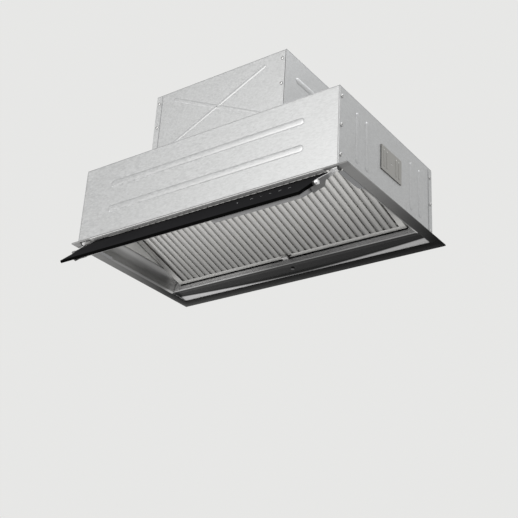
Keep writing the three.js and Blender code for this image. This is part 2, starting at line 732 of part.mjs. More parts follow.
// ---- Duct collar with two non-return flaps on one axle ----
const collarFoot = motorBoxTop + fitGap;
const bore = circle(0, 0, ductBore, 48);
const seatBore = circle(0, 0, ductBore - seatWidth, 48);
const ringAt = (radius, z0, z1, hole) => alongZ(circle(0, 0, radius, 48), z0, z1, [hole]);
const damperRise = seatThickness + fitGap + damperThickness / 2;
const damperZ = collarFoot + damperRise;
const seatReach = ductBore - fitGap;
const axleSaddle = alongX(circle(0, damperRise, damperKnuckle + fitGap, 16), -seatReach, seatReach);
const collar = piece('duct_collar', cut(join(
  ringAt(ductRadius + collarFlange, 0, collarFlangeThickness, bore),
  ringAt(ductRadius, 0, collarHeight, bore),
  ringAt(ductRadius, 0, seatThickness, seatBore),
), axleSaddle), blackPlastic);
collar.position.set(0, ductY, collarFoot);

const damperRadius = ductBore - damperClearance;
const startAngle = THREE.MathUtils.radToDeg(Math.asin(damperStart / damperRadius));
for (const [where, sign, knuckleX] of [['rear', 1, 22], ['front', -1, 44]]) {
  const half = damperThickness / 2;
  const parts = [alongZ(arc(0, 0, damperRadius, startAngle, 180 - startAngle, 24), -half, half)];
  for (const x of [-knuckleX, knuckleX]) {
    const x0 = x - damperKnuckleLength / 2;
    const x1 = x + damperKnuckleLength / 2;
    parts.push(alongX(circle(0, 0, damperKnuckle, 16), x0, x1));
    parts.push(block(x0, x1, damperKnuckle - 1, damperStart + 1, -half, half));
  }
  const axleHole = alongX(circle(0, 0, damperAxleRadius + runGap, 16), -ductRadius, ductRadius);
  const plate = cut(join(...parts), axleHole);
  const damper = piece(`damper_${where}`, sign === 1 ? plate : plate.mirror([0, 1, 0]), blackPlastic);
  damper.position.set(0, ductY, damperZ);
}
const axle = piece('damper_axle', alongX(circle(0, 0, damperAxleRadius, 12),
  -seatReach + fitGap, seatReach - fitGap), zinc);
axle.position.set(0, ductY, damperZ);

// ---- Electrics: control unit on the rear wall, mains gland in the casing's top ----
const unitRear = rearWallY - fitGap;
const unitFront = unitRear - unitDepth;
const unitX1 = sideOuter - unitInset + unitWidth / 2;
const unitX0 = unitX1 - unitWidth;
piece('control_unit', cut(
  block(unitX0, unitX1, unitFront, unitRear, unitZ, unitZ + unitHeight),
  block(unitX0 + unitWall, unitX1 - unitWall, unitFront - 1, unitRear - unitWall,
    unitZ + unitWall, unitZ + unitHeight - unitWall),
), blackPlastic);
piece('control_unit_lid', block(unitX0, unitX1, unitFront - fitGap - unitWall, unitFront - fitGap,
  unitZ, unitZ + unitHeight), blackPlastic);
piece('power_board', block(unitX0 + 2 * unitWall, unitX1 - 2 * unitWall, unitFront + unitWall,
  unitRear - 2 * unitWall, unitZ + 2 * unitWall, unitZ + 2 * unitWall + boardThickness), boardGreen);
const glandFoot = topZ + sheet + fitGap;
const gland = piece('cable_gland', alongZ(circle(0, 0, glandRadius, 24), -glandHeight / 2, glandHeight,
  [circle(0, 0, glandBore, 24)]), blackPlastic);
gland.position.set(glandX, glandY, topZ);
piece('gland_nut', alongZ(circle(glandX, glandY, glandRadius + glandNutRim, 6),
  glandFoot, glandFoot + glandHeight / 3, [circle(glandX, glandY, glandRadius + fitGap, 24)]), blackPlastic);

// ---- Cabinet clamps: plates that a screw inside the casing presses on the cabinet's sides ----
const clampX = sideOuter + fitGap;
for (const [side, sign] of sides) {
  const clampHalf = clampDepth / 2;
  const plate = alongX(rectangle(-clampHalf, clampHalf, clampZ, clampZ + clampHeight),
    clampX, clampX + clampThickness, [circle(0, clampMid, screwShankRadius + fitGap, 12)]);
  piece(`side_clamp_${side}`, handed(plate, sign), zinc);
  const screw = join(
    alongX(circle(0, clampMid, screwHeadRadius, 16), betweenSides - screwHeadHeight, betweenSides),
    alongX(circle(0, clampMid, screwShankRadius, 12), betweenSides - screwHeadHeight / 2,
      clampX + clampThickness - fitGap),
  );
  piece(`clamp_screw_${side}`, handed(screw, sign), zinc);
}

export default hood;
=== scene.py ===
# Built-in range hood with a black glass flap that swings out of its underside, open, seen from below.
# Sizes are in millimetres until a mesh is made, which is in metres. +X right, +Y to the wall, +Z up.
import json
from math import asin, cos, pi, radians, sin

import bmesh
import bpy
import numpy as np
from mathutils import Matrix, Vector

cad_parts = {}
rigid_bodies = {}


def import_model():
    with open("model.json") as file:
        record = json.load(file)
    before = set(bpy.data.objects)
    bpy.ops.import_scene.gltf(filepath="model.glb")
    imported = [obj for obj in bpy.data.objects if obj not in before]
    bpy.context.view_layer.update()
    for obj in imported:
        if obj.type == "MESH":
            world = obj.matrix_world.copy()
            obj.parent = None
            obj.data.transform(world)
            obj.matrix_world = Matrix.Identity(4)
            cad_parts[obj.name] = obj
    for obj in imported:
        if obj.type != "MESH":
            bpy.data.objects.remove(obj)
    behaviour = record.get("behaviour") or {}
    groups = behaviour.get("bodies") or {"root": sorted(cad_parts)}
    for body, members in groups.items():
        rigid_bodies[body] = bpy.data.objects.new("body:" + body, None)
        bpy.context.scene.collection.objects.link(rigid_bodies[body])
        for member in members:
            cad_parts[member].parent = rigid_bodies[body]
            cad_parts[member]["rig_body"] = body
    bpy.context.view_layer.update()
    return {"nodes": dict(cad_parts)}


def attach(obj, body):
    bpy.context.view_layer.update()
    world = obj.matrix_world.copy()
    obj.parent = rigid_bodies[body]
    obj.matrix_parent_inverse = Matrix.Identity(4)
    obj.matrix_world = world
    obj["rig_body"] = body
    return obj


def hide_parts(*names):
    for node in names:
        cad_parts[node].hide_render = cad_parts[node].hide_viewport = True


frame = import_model()
nodes = frame["nodes"]

# ---- Studio ----
# One looks up under the hood from the right, in a pale room with a pale floor and large soft lamps.
# The room that the camera and the mirror of the steel see is the same; only plain light reaches the rest.
scene = bpy.context.scene
scene.view_settings.view_transform = "Standard"


class Value:
    """A socket of a material. Sums with it add Math nodes, one for each operation."""

    def __init__(self, paint, socket):
        self.paint, self.socket = paint, socket

    def math(self, operation, *others):
        return self.paint.node("Math", {"operation": operation}, dict(enumerate(others)))

    def __add__(self, other):
        return self.math("ADD", self, other)

    def __sub__(self, other):
        return self.math("SUBTRACT", self, other)

    def __rsub__(self, other):
        return self.math("SUBTRACT", other, self)

    def __mul__(self, other):
        return self.math("MULTIPLY", self, other)

    def __abs__(self):
        return self.math("ABSOLUTE", self)

    __radd__ = __add__
    __rmul__ = __mul__


class Paint:
    """The nodes of one material, or of the world."""

    def __init__(self, owner):
        owner.use_nodes = True
        self.owner, self.tree = owner, owner.node_tree

    def node(self, kind, settings=None, sockets=None, output=0):
        """Adds a node of a kind, makes its settings, then gives its sockets values or links."""
        node = self.tree.nodes.new("ShaderNode" + kind)
        for name, value in (settings or {}).items():
            if name == "stops":
                for place, _ in value[1:-1]:
                    node.color_ramp.elements.new(place)
                for stop, (place, grey) in zip(node.color_ramp.elements, value):
                    stop.position, stop.color = place, (grey, grey, grey, 1)
            else:
                setattr(node, name, value)
        self.fill(node, sockets or {})
        return Value(self, node.outputs[output])

    def fill(self, node, sockets):
        for name, value in sockets.items():
            if isinstance(value, Value):
                self.tree.links.new(value.socket, node.inputs[name])
            else:
                node.inputs[name].default_value = value

    def place(self):
        """The point in the object's own frame, in metres, as three numbers."""
        split = self.node("SeparateXYZ", None, {0: self.node("TexCoord", output="Object")})
        return [Value(self, socket) for socket in split.socket.node.outputs]

    def noise(self, scale, detail=3, stretch=(1, 1, 1)):
        """Noise from 0 to 1 with so many grains a metre; stretch multiplies that along x, y and z."""
        where = self.node("Mapping", None, {0: self.node("TexCoord", output="Object"), "Scale": stretch})
        return self.node("TexNoise", None, {"Vector": where, "Scale": scale, "Detail": detail})

    def mix(self, one, other, amount):
        """Blend of two colours by a number from 0 to 1."""
        return self.node("Mix", {"data_type": "RGBA"}, {0: amount, 6: one, 7: other}, 2)

    def smooth(self, value, low, high):
        """0 below low, 1 above high, and a soft step between."""
        return self.node("MapRange", {"interpolation_type": "SMOOTHSTEP"},
                         {"Value": value, "From Min": low, "From Max": high})

    def bump(self, height, strength, depth):
        return self.node("Bump", None, {"Height": height, "Strength": strength, "Distance": depth})


def material(name):
    return Paint(bpy.data.materials.new(name))


def finish(paint, **sockets):
    """Sets the sockets of a material's own shader, spaces in their names written as low lines."""
    shader = paint.tree.nodes["Principled BSDF"]
    paint.fill(shader, {name.replace("_", " "): value for name, value in sockets.items()})
    return paint.owner


def tint(colour):
    """An opaque colour."""
    return colour + (1,)


millimetre = 0.001
camera_place = (1.055097, -1.389669, -0.849825)
camera_right = Vector((0.81358, 0.57890, 0.05442))
camera_down = Vector((-0.20748, 0.37647, -0.90290))
camera_forward = Vector((-0.54318, 0.72329, 0.42640))
camera = bpy.data.objects.new("camera", bpy.data.cameras.new("camera"))
scene.collection.objects.link(camera)
camera.matrix_world = Matrix.Translation(camera_place) @ Matrix(
    (camera_right, -camera_down, -camera_forward)).transposed().to_4x4()
camera.data.sensor_width = 36
camera.data.lens = 73.863
scene.camera = camera

floor_height = -2.4
floor_reach = 7.0
floor_mesh = bpy.data.meshes.new("floor")
corner = np.array([[-1, -1], [1, -1], [1, 1], [-1, 1]]) * floor_reach
floor_mesh.from_pydata(np.column_stack([corner, np.full(4, floor_height)]), [], [(0, 1, 2, 3)])
floor = bpy.data.objects.new("floor", floor_mesh)
scene.collection.objects.link(floor)
floor_paint = material("pale floor")
cloudy = floor_paint.noise(1.5)
floor_mesh.materials.append(finish(
    floor_paint, Base_Color=floor_paint.mix(tint((0.78, 0.775, 0.765)), tint((0.72, 0.715, 0.705)), cloudy),
    Roughness=0.7))

room_colour = (0.80, 0.80, 0.79, 1)
plain_light = (0.62, 0.62, 0.63, 1)
world = bpy.data.worlds.new("pale room")
scene.world = world
room = Paint(world)
ray = [room.node("LightPath", output=kind)
       for kind in ("Is Camera Ray", "Is Glossy Ray", "Is Transmission Ray")]
seen = room.node("Math", {"operation": "MINIMUM"}, {0: ray[0] + ray[1] + ray[2], 1: 1.0})
room.fill(room.tree.nodes["Background"], {"Color": room.mix(plain_light, room_colour, seen), "Strength": 1.0})

lamps = [
    ("lamp_front", (-0.3, -2.6, 0.6), 2.2, 34, (1.0, 0.99, 0.97)),
    ("lamp_left", (-2.4, -0.6, -0.5), 1.8, 22, (1.0, 0.995, 0.985)),
    ("lamp_above", (0.8, 0.6, 2.6), 2.4, 40, (0.98, 0.99, 1.0)),
]
for name, place, size, power, colour in lamps:
    light = bpy.data.lights.new(name, "AREA")
    light.shape, light.size, light.energy, light.color = "DISK", size, power, colour
    lamp = bpy.data.objects.new(name, light)
    scene.collection.objects.link(lamp)
    lamp.location = place
    lamp.rotation_euler = (Vector((0, 0, 0)) - lamp.location).to_track_quat("-Z", "Y").to_euler()
    lamp.visible_camera = False

# ---- Lower frame ----
# One pressed sheet of brushed stainless steel that lies flush in the cabinet's underside. Its outer edge
# is folded over, and its front rail is cut back at both ends, where the flap's arms turn.


def grid(points, around=False, capped=False):
    """A surface on points[u, v]: each quad joins neighbours in u and v. around closes v on itself,
    and capped closes the first and the last row of u by one face each."""
    rows, columns = points.shape[:2]
    index = np.arange(rows * columns).reshape(rows, columns)
    walk = np.hstack([index, index[:, :1]]) if around else index
    quads = np.stack([walk[:-1, :-1], walk[1:, :-1], walk[1:, 1:], walk[:-1, 1:]], -1).reshape(-1, 4)
    faces = quads.tolist()
    if capped:
        faces += [index[0].tolist(), index[-1][::-1].tolist()]
    return points.reshape(-1, 3), faces


def joined(*parts):
    """Several parts, each of points and faces, as one."""
    points, faces, count = [], [], 0
    for part_points, part_faces in parts:
        points.append(part_points)
        faces += [[count + corner for corner in face] for face in part_faces]
        count += len(part_points)
    return np.concatenate(points), faces


def put(name, part, paint, smooth=35):
    """An object of a part in millimetres: doubles merged, faces turned outwards, and edges under the
    smooth angle shaded round."""
    points, faces = part
    mesh = bpy.data.meshes.new(name)
    mesh.from_pydata(np.asarray(points) * millimetre, [], faces)
    shape = bmesh.new()
    shape.from_mesh(mesh)
    bmesh.ops.remove_doubles(shape, verts=shape.verts, dist=1e-6)
    bmesh.ops.recalc_face_normals(shape, faces=shape.faces)
    shape.to_mesh(mesh)
    shape.free()
    mesh.polygons.foreach_set("use_smooth", np.ones(len(mesh.polygons), bool))
    mesh.set_sharp_from_angle(angle=radians(smooth))
    mesh.materials.append(paint)
    piece = bpy.data.objects.new(name, mesh)
    scene.collection.objects.link(piece)
    return piece


def stands_for(piece, slot, *names):
    """The piece moves with the body of the CAD nodes that it replaces, which are hidden."""
    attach(piece, nodes[names[0]]["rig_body"])
    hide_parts(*names)


def softened(node, paint, slot, width=0.4, segments=2, limit=30):
    """The CAD node's own solid with its corners rounded by a Bevel of a width in millimetres."""
    source = nodes[node].data
    points = np.empty(3 * len(source.vertices))
    source.vertices.foreach_get("co", points)
    corners = np.empty(len(source.loops), int)
    source.loops.foreach_get("vertex_index", corners)
    mesh = bpy.data.meshes.new(node + "_rounded")
    mesh.from_pydata(points.reshape(-1, 3), [], corners.reshape(-1, 3).tolist())
    shape = bmesh.new()
    shape.from_mesh(mesh)
    bmesh.ops.remove_doubles(shape, verts=shape.verts, dist=1e-6)
    bmesh.ops.dissolve_limit(shape, angle_limit=radians(0.5), verts=shape.verts, edges=shape.edges)
    shape.to_mesh(mesh)
    shape.free()
    mesh.polygons.foreach_set("use_smooth", np.ones(len(mesh.polygons), bool))
    mesh.materials.append(paint)
    piece = bpy.data.objects.new(node + "_rounded", mesh)
    scene.collection.objects.link(piece)
    bevel = piece.modifiers.new("rounded", "BEVEL")
    bevel.width, bevel.segments = width * millimetre, segments
    bevel.limit_method, bevel.angle_limit = "ANGLE", radians(limit)
    bevel.harden_normals = True
    stands_for(piece, slot, node)


def brushed(name, colour, rough, along, streaks=0.05, painted_light=None, metal=1.0, patch=None):
    """Brushed steel: fine lines that run along x, y or z, a few faint wider streaks and cloudy patches.
    painted light: pairs of a y in metres and a share of the colour that paint light and shade into the
    colour along y. patch paints light and shade too: it takes the paint and gives a mask, a share of
    the colour and a share of the metal where the mask is 1."""
    paint = material(name)
    fine = [1500.0, 1500.0, 1500.0]
    fine["xyz".index(along)] = 18.0
    lines = paint.noise(1, 2, fine)
    wide = paint.noise(1, 2, [part / 9 for part in fine])
    cloudy = paint.noise(9, 2)
    shade = 1 + (lines - 0.5) * streaks + (wide - 0.5) * (2.5 * streaks) + (cloudy - 0.5) * 0.08
    # painted light and shade along y
    if painted_light:
        (y0, low), (y1, high) = painted_light
        shade = shade * (paint.smooth(paint.place()[1], y0, y1) * (high - low) + low)
    # painted light and shade from the patch
    if patch:
        mask, lighter, duller = patch(paint)
        shade = shade * (mask * (lighter - 1) + 1)
        metal = (mask * (duller - 1) + 1) * metal
    painted = paint.node("VectorMath", {"operation": "SCALE"}, {0: colour, "Scale": shade})
    return finish(
        paint, Base_Color=painted, Metallic=metal, Specular_IOR_Level=0.0,
        Roughness=(lines - 0.5) * 0.12 + (cloudy - 0.5) * 0.06 + rough,
        Normal=paint.bump(lines, 0.08, 0.0004))


def rails_painted_light(paint):
    """Painted light and shade on the frame: the underside's colour is painted darker to the rear, and its
    narrow rail before the flap is painted lighter, less so at both corners. That rail catches more light
    than it mirrors, and the rear rail mirrors most at the left end."""
    x, y, z = paint.place()
    under = 1 - paint.smooth(z, 0.0009, 0.0011) * (1 - paint.smooth(x, 0.2982, 0.2988))
    front = paint.smooth(-1 * y, 0.1575, 0.1585)
    rear = paint.smooth(y, 0.10, 0.15)
    corners = paint.smooth(-1 * x, 0.249, 0.257) * 1.8 + paint.smooth(x, 0.249, 0.257) * 2.1
    shade = (1.25 - paint.smooth(y, -0.17, 0.15) * 1.22) * (front * (2 - corners) + 1)
    return 1.0, under * (shade - 1) + 1, (1 - front * 0.95) * (1 - under * rear * x * 1.6)


frame_steel = brushed("frame steel", (0.255, 0.255, 0.252), 0.34, "x", metal=0.6, patch=rails_painted_light)
half_width, half_depth = 299.0, 170.0
frame_sheet, frame_hem, hem_width = 1.2, 2.6, 8.0
opening_x, opening_rear, opening_front = 280.5, 146.0, -160.0
notch_x, notch_front = 255.5, -168.0
frame_edge = 0.5
lip_step = 0.2                  # of the last bevel round the opening
corner_radius = 3.0
corner_turn = np.radians(np.linspace(0, 90, 5))
rear_corner = np.column_stack([opening_x - corner_radius + corner_radius * np.cos(corner_turn),
                               opening_rear - corner_radius + corner_radius * np.sin(corner_turn)])
inner_loop = np.vstack([
    [[-opening_x, notch_front], [-notch_x, notch_front], [-notch_x, opening_front], [notch_x, opening_front],
     [notch_x, notch_front], [opening_x, notch_front]], rear_corner, rear_corner[::-1] * [-1, 1]])
outer_rear = np.array([[half_width, half_depth - 27], [half_width, half_depth - 13], [half_width, half_depth],
                       [half_width - 11, half_depth], [half_width - 21.5, half_depth]])
outer_loop = np.vstack([
    [[-half_width, -half_depth], [-notch_x, -half_depth], [1 - notch_x, -half_depth],
     [notch_x - 1, -half_depth], [notch_x, -half_depth], [half_width, -half_depth]],
    outer_rear, outer_rear[::-1] * [-1, 1]])


def drawn(loop, distance):
    """A closed loop of points, turning left, moved outwards by a distance along the mean normal of the
    two legs at each point."""
    legs = np.roll(loop, -1, 0) - loop
    legs = legs / np.linalg.norm(legs, axis=1)[:, None]
    mean = legs + np.roll(legs, 1, 0)
    normal = np.column_stack([mean[:, 1], -mean[:, 0]]) / 2
    return loop + normal * (distance / (normal ** 2).sum(1))[:, None]


def drawn_in(distance):
    """The frame's outer edge, drawn in by a distance."""
    reach = np.array([half_width - distance, half_depth - distance])
    return np.clip(outer_loop, -reach, reach)


# a quarter circle: how far in from the edge, and how far up, as shares of its radius
edge_turn = np.linspace(0, pi / 2, 4)
round_edge = np.column_stack([1 - np.sin(edge_turn), 1 - np.cos(edge_turn)])
rings = [(drawn_in(hem_width), frame_sheet), (drawn_in(hem_width), frame_hem),
         (drawn_in(frame_edge), frame_hem)]
rings += [(drawn_in(frame_edge * inward), frame_hem - frame_edge * (1 - up))
          for inward, up in 1 - round_edge[::-1]]
rings += [(drawn_in(frame_edge * inward), frame_edge * up) for inward, up in round_edge[::-1]]
rings += [(drawn(inner_loop, frame_edge * inward), frame_edge * up) for inward, up in round_edge]
rings += [(inner_loop, frame_sheet - lip_step), (drawn(inner_loop, lip_step), frame_sheet), rings[0]]
ring_points = np.stack([np.column_stack([loop, np.full(len(loop), height)]) for loop, height in rings])
stands_for(put("lower_frame", grid(ring_points, True), frame_steel), "frame_steel", "underframe")

# ---- Side cheeks ----
# Thin steel sheets that rise from the frame's opening in a cove and end in a folded seam under the flat
# sides of the filter bay. A short flat lip beside the frame is flush with it.
sheet = 1.0
fit_gap = 0.3
seam_x = 260.5
cheek_rise = 30.5
cheek_lip = 4.5
cheek_front, cheek_rear = -83.7, 100.4
cheek_toe = -112.0              # the cove runs on above the hinge cover


def swept(profile, stations):
    """A closed profile of (x, z) points carried along y from station to station."""
    size = len(stations), len(profile)
    return grid(np.stack([
        np.broadcast_to(profile[:, 0], size), np.broadcast_to(stations[:, None], size),
        np.broadcast_to(profile[:, 1], size)], -1), True, True)


def rounded_path(corners, radii, steps=5):
    """A path through corners, each rounded by an arc of its radius: the arc touches both legs at
    radius * tan(half the turn) from the corner, and its points are spread evenly over the turn."""
    corners = np.asarray(corners, float)
    points = [corners[:1]]
    for before, here, after, radius in zip(corners[:-2], corners[1:-1], corners[2:], radii):
        into = (here - before) / np.linalg.norm(here - before)
        out = (after - here) / np.linalg.norm(after - here)
        turn = np.arctan2(into[0] * out[1] - into[1] * out[0], into @ out)
        start = here - into * radius * np.tan(abs(turn) / 2)
        side = np.array([-into[1], into[0]]) * np.sign(turn)
        angle = np.linspace(0, abs(turn), steps + 1)[:, None]
        points.append(start + radius * (np.sin(angle) * into + (1 - np.cos(angle)) * side))
    points.append(corners[-1:])
    return np.concatenate(points)


def sheet_outline(path, thickness):
    """The closed outline of a sheet that follows a path: the path, then its copy moved sideways to the
    left by the thickness, along the mean normal of the legs that meet at each point."""
    legs = np.diff(path, axis=0)
    legs /= np.linalg.norm(legs, axis=1)[:, None]
    before, after = np.vstack([legs[:1], legs]), np.vstack([legs, legs[-1:]])
    mean = before + after
    normal = np.column_stack([-mean[:, 1], mean[:, 0]]) / 2
    moved = path + normal * (thickness / (normal ** 2).sum(1))[:, None]
    return np.vstack([path, moved[::-1]])


bend = 3.0
cove_angle = np.linspace(pi / 2, asin(bend / cheek_rise), 15)
cove = np.column_stack([seam_x + (opening_x - seam_x - cheek_lip) * np.cos(cove_angle),
                        cheek_rise * np.sin(cove_angle)])
cheek_path = np.vstack([
    cove, rounded_path([cove[-1], [opening_x - cheek_lip, 0], [opening_x - fit_gap, 0]], [bend])[1:]])


def cove_painted_shade(paint):
    """Painted shade: a soft darker band where the cove turns up, over the middle of its length, which is
    painted darker too, and a painted lighter seam above."""
    _, y, z = paint.place()
    middle = paint.smooth(y, -0.06, 0.02) * (1 - paint.smooth(y, 0.07, 0.09))
    band = (paint.smooth(z, 0.007, 0.014) * (1 - paint.smooth(z, 0.019, 0.026))
            * (1 - paint.smooth(y, 0.07, 0.09)))
    seam = paint.smooth(z, 0.022, 0.028)
    return 1.0, (1 - middle * 0.3) * (1 - band * (middle * 0.12 + 0.2)) * (seam * 0.35 + 1), 1.0


# Painted light: the cheeks' colour is painted lighter towards their rear ends.
cheek_steel = brushed("cheek steel", (0.31, 0.31, 0.306), 0.3, "y", painted_light=((0.06, 1.1), (0.095, 2.0)),
                      metal=0.8, patch=cove_painted_shade)
stations = np.linspace(cheek_front, cheek_rear, 25)
for side, sign in (("left", -1), ("right", 1)):
    part = joined(swept(sheet_outline(cheek_path, sheet) * [sign, 1], stations),
                  swept(sheet_outline(cove, sheet) * [sign, 1], np.array([cheek_toe, cheek_front])))
    stands_for(put(f"cheek_{side}_sheet", part, cheek_steel), "frame_steel", f"cheek_{side}")

# ---- Gussets ----
# The flat steel sides of the filter bay above the cheeks, folded outwards at the top to the casing.
# Painted light: the gussets' colour is painted lighter towards the front.
gusset_steel = brushed(
    "gusset steel", (0.55, 0.55, 0.54), 0.3, "y", painted_light=((0.0, 1.5), (0.06, 1.0)), metal=0.6)
for side in ("left", "right"):
    softened(f"gusset_{side}", gusset_steel, "frame_steel", 0.3)

# ---- Hinge covers ----
# Flush plates over the front corners, rounded at the rear; each is flanged up beside the casing.
cover_steel = brushed("cover steel", (0.34, 0.345, 0.35), 0.28, "y")
for side in ("left", "right"):
    softened(f"hinge_cover_{side}", cover_steel, "frame_steel", 0.45, 3)

# ---- Rear tray ----
# A steel panel behind the filter, its colour painted dark as shade, dished above the frame and folded
# up in front to the ledge that the filter's latch locks behind. Its ends rise behind the cheeks, and one
# screw holds its middle.
tray_front, tray_half, tray_dish, tray_top = 101.0, 280.2, 4.2, 14.0
tray_bed, tray_seat, tray_rear = 1.5, 145.0, 147.0
tray_lean, tray_return, tray_fold, tray_run = 1.5, 7.0, 3.0, 14.0
ramp_middle, ramp_spread, ramp_half = 141.0, 16.0, 272.0
ear_rise, ear_start, ear_step = 14.0, 259.8, 0.8
ear_low, ear_rear = 6.0, 112.0  # the ears rise above this height, in front of this y


def ramp_start(x):
    """Where the ramp to the rear rail starts: near the rail in the middle, and sooner towards both ends,
    as the square of x."""
    return ramp_middle - ramp_spread * (x / ramp_half) ** 2


ear_end = ear_start + ear_step
tray_x = np.unique(np.concatenate([np.linspace(-tray_half, tray_half, 57), np.linspace(-10, 10, 21),
                                   [-ear_end, -ear_start, ear_start, ear_end]]))
tray_share = np.linspace(0, 1, 25)
ramp_share = np.linspace(0, 1, 7)
wall = rounded_path(
    [[tray_front + tray_lean + tray_return, tray_top], [tray_front + tray_lean, tray_top],
     [tray_front, tray_fold], [tray_front + tray_run, tray_dish], [tray_front + tray_run + 1, tray_dish]],
    [1.2, 1.2, 8.0], 6)
starts = ramp_start(tray_x)[:, None]
panel_y = wall[-1, 0] + (starts - wall[-1, 0]) * tray_share[1:]
panel_z = np.full_like(panel_y, tray_dish)
ramp_y = starts + (tray_seat - starts) * ramp_share[1:]
ramp_rise = 3 * ramp_share[1:] ** 2 - 2 * ramp_share[1:] ** 3
ramp_z = np.broadcast_to(tray_dish + (tray_bed - tray_dish) * ramp_rise, ramp_y.shape)
seat_y = np.full((len(tray_x), 1), tray_rear)
wall_size = len(tray_x), len(wall)
under_y = np.hstack([np.broadcast_to(wall[:, 0], wall_size), panel_y, ramp_y, seat_y])
under_z = np.hstack([np.broadcast_to(wall[:, 1], wall_size), panel_z, ramp_z, seat_y * 0 + tray_bed])
screw_x, screw_y, dimple_rise, dimple_radius = 0.0, 124.0, 0.35, 5.0
from_screw = (tray_x[:, None] - screw_x) ** 2 + (under_y - screw_y) ** 2
under_z = under_z + dimple_rise * np.exp(-from_screw / dimple_radius ** 2) * (under_z < tray_dish + 0.1)
under = np.stack([under_y, under_z], -1)
legs = np.diff(under, axis=1)
legs = legs / np.linalg.norm(legs, axis=2, keepdims=True)
mean = np.concatenate([legs[:, :1], legs], 1) + np.concatenate([legs, legs[:, -1:]], 1)
normal = np.stack([-mean[..., 1], mean[..., 0]], -1) / 2
over = under + normal * (sheet / (normal ** 2).sum(-1))[..., None]
both = np.concatenate([under, over[:, ::-1]], 1)
ear = np.clip((np.abs(tray_x) - ear_start) / ear_step, 0, 1)[:, None]
above = np.clip((both[..., 1] - ear_low) / (tray_top - ear_low), 0, 1)
both[..., 1] += ear * ear_rise * above * (both[..., 0] < ear_rear)
tray_points = np.concatenate([np.broadcast_to(tray_x[:, None, None], both.shape[:2] + (1,)), both], -1)


def folds_painted_light(paint):
    """Painted light: the ledge wall and the ramp, which turn to the light, are painted much lighter than
    the level panel between them. All three are lighter to the left, the wall and the ramp by painted light."""
    x, y, _ = paint.place()
    ramp = paint.smooth(y + x * x * (0.0113 / 0.24 ** 2), 0.1430, 0.1466)
    wall = 1 - paint.smooth(y, 0.1018, 0.1055)
    leftwards, rightwards = paint.smooth(-1 * x, 0.0, 0.14), paint.smooth(x, 0.08, 0.16)
    lighter = ramp * (leftwards * 10 + 23) + wall * (leftwards * 17 + rightwards * 5 + 13) + 1
    return 1.0, lighter, (1 - (ramp + wall) * 0.4) * (1.5 - x * 1.7)


# The tray's colour is painted very dark as shade.
tray_steel = brushed("tray steel", (0.022, 0.022, 0.022), 0.24, "x", metal=0.4, patch=folds_painted_light)
stands_for(put("rear_tray_sheet", grid(tray_points, True, True), tray_steel), "dark_steel", "rear_tray")
dull_steel = brushed("dull screw steel", (0.13, 0.13, 0.13), 0.3, "x")
softened("tray_screw", dull_steel, "polished_steel", 0.3, 3)

# ---- Casing and motor box ----
# Galvanised sheets folded and screwed together inside the cabinet: a low casing over the filter bay and a
# narrower box over the blower.
zinc_paint = material("galvanised sheet")
spangle = zinc_paint.node("TexVoronoi", {"feature": "F1"}, {"Scale": 95.0}, "Color")
spangle_grey = zinc_paint.node("RGBToBW", None, {0: spangle})
frost = zinc_paint.noise(260, 3)
zinc_shade = spangle_grey * 0.10 + (frost - 0.5) * 0.08 + 0.44
zinc_sheet = finish(
    zinc_paint, Metallic=1.0,
    Base_Color=zinc_paint.node(
        "VectorMath", {"operation": "SCALE"}, {0: (1, 1.01, 1.02), "Scale": zinc_shade}),
    Roughness=spangle_grey * 0.16 + (frost - 0.5) * 0.1 + 0.38,
    Normal=zinc_paint.bump(frost, 0.05, 0.0005))
for name in ("casing_side_left", "casing_side_right", "casing_front", "casing_rear", "casing_top",
             "motor_box_left", "motor_box_right", "motor_box_front", "motor_box_rear", "motor_box_top"):
    softened(name, zinc_sheet, "zinc_sheet", 0.3)

# ---- Beads, laps and screws of the casing ----
# Long beads pressed outwards stiffen the sheets, lapped strips close the corners, and pan-head screws
# with a crossed recess hold the sheets together.
screw_steel = brushed("screw steel", (0.5, 0.5, 0.5), 0.25, "x")


def bar(x0, x1, y0, y1, z0, z1):
    """A flat bar between two corners."""
    ring = np.array([[x0, y0], [x1, y0], [x1, y1], [x0, y1]], float)
    return grid(np.stack([np.column_stack([ring, np.full(4, z)]) for z in (z0, z1)]), True, True)


def repeated(part, offsets):
    """Copies of a part, one for each offset."""
    points, faces = part
    moved = (points[None] + offsets[:, None]).reshape(-1, 3)
    corners = [np.asarray(face) for face in faces]
    return moved, [(corner + i * len(points)).tolist() for i in range(len(offsets)) for corner in corners]


def bead(length, width, height, steps=8):
    """A pressed bead along x on the plane z = 0. Each ring is a stadium drawn in to width/2 * cos(a), at a
    height of height * sin(a); the first lies just under the plane."""
    angle = np.radians([0, 0, 20, 40, 60, 78])
    lift = np.array([-0.3, 0, 0, 0, 0, 0]) + height * np.sin(angle)
    turn = np.linspace(-pi / 2, pi / 2, steps)
    radius = (width / 2 * np.cos(angle))[:, None]
    reach = length / 2 - width / 2
    x = np.hstack([reach + radius * np.cos(turn), -reach - radius * np.cos(turn)])
    y = np.hstack([radius * np.sin(turn), -radius * np.sin(turn)])
    return grid(np.stack([x, y, np.broadcast_to(lift[:, None], x.shape)], -1), True, True)


def screw_head(radius, height, steps=24):
    """A pan head on the plane z = 0: rings of a rounded head, then two rings whose radius swells four
    times round, as 1 + 0.45 cos 4a, one at the top and one deep in the recess."""
    shares = np.array([[1, -0.2], [1, 0.35], [0.9, 0.75], [0.66, 0.96], [0.48, 1.0], [0.30, 1.0],
                       [0.24, 0.35]])
    turn = np.linspace(0, 2 * pi, steps, endpoint=False)
    swell = np.where(np.arange(7)[:, None] > 4, 1 + 0.45 * np.cos(4 * turn), 1)
    ring = shares[:, :1] * radius * swell
    return grid(np.stack([ring * np.cos(turn), ring * np.sin(turn),
                          np.broadcast_to(shares[:, 1:] * height, ring.shape)], -1), True, True)


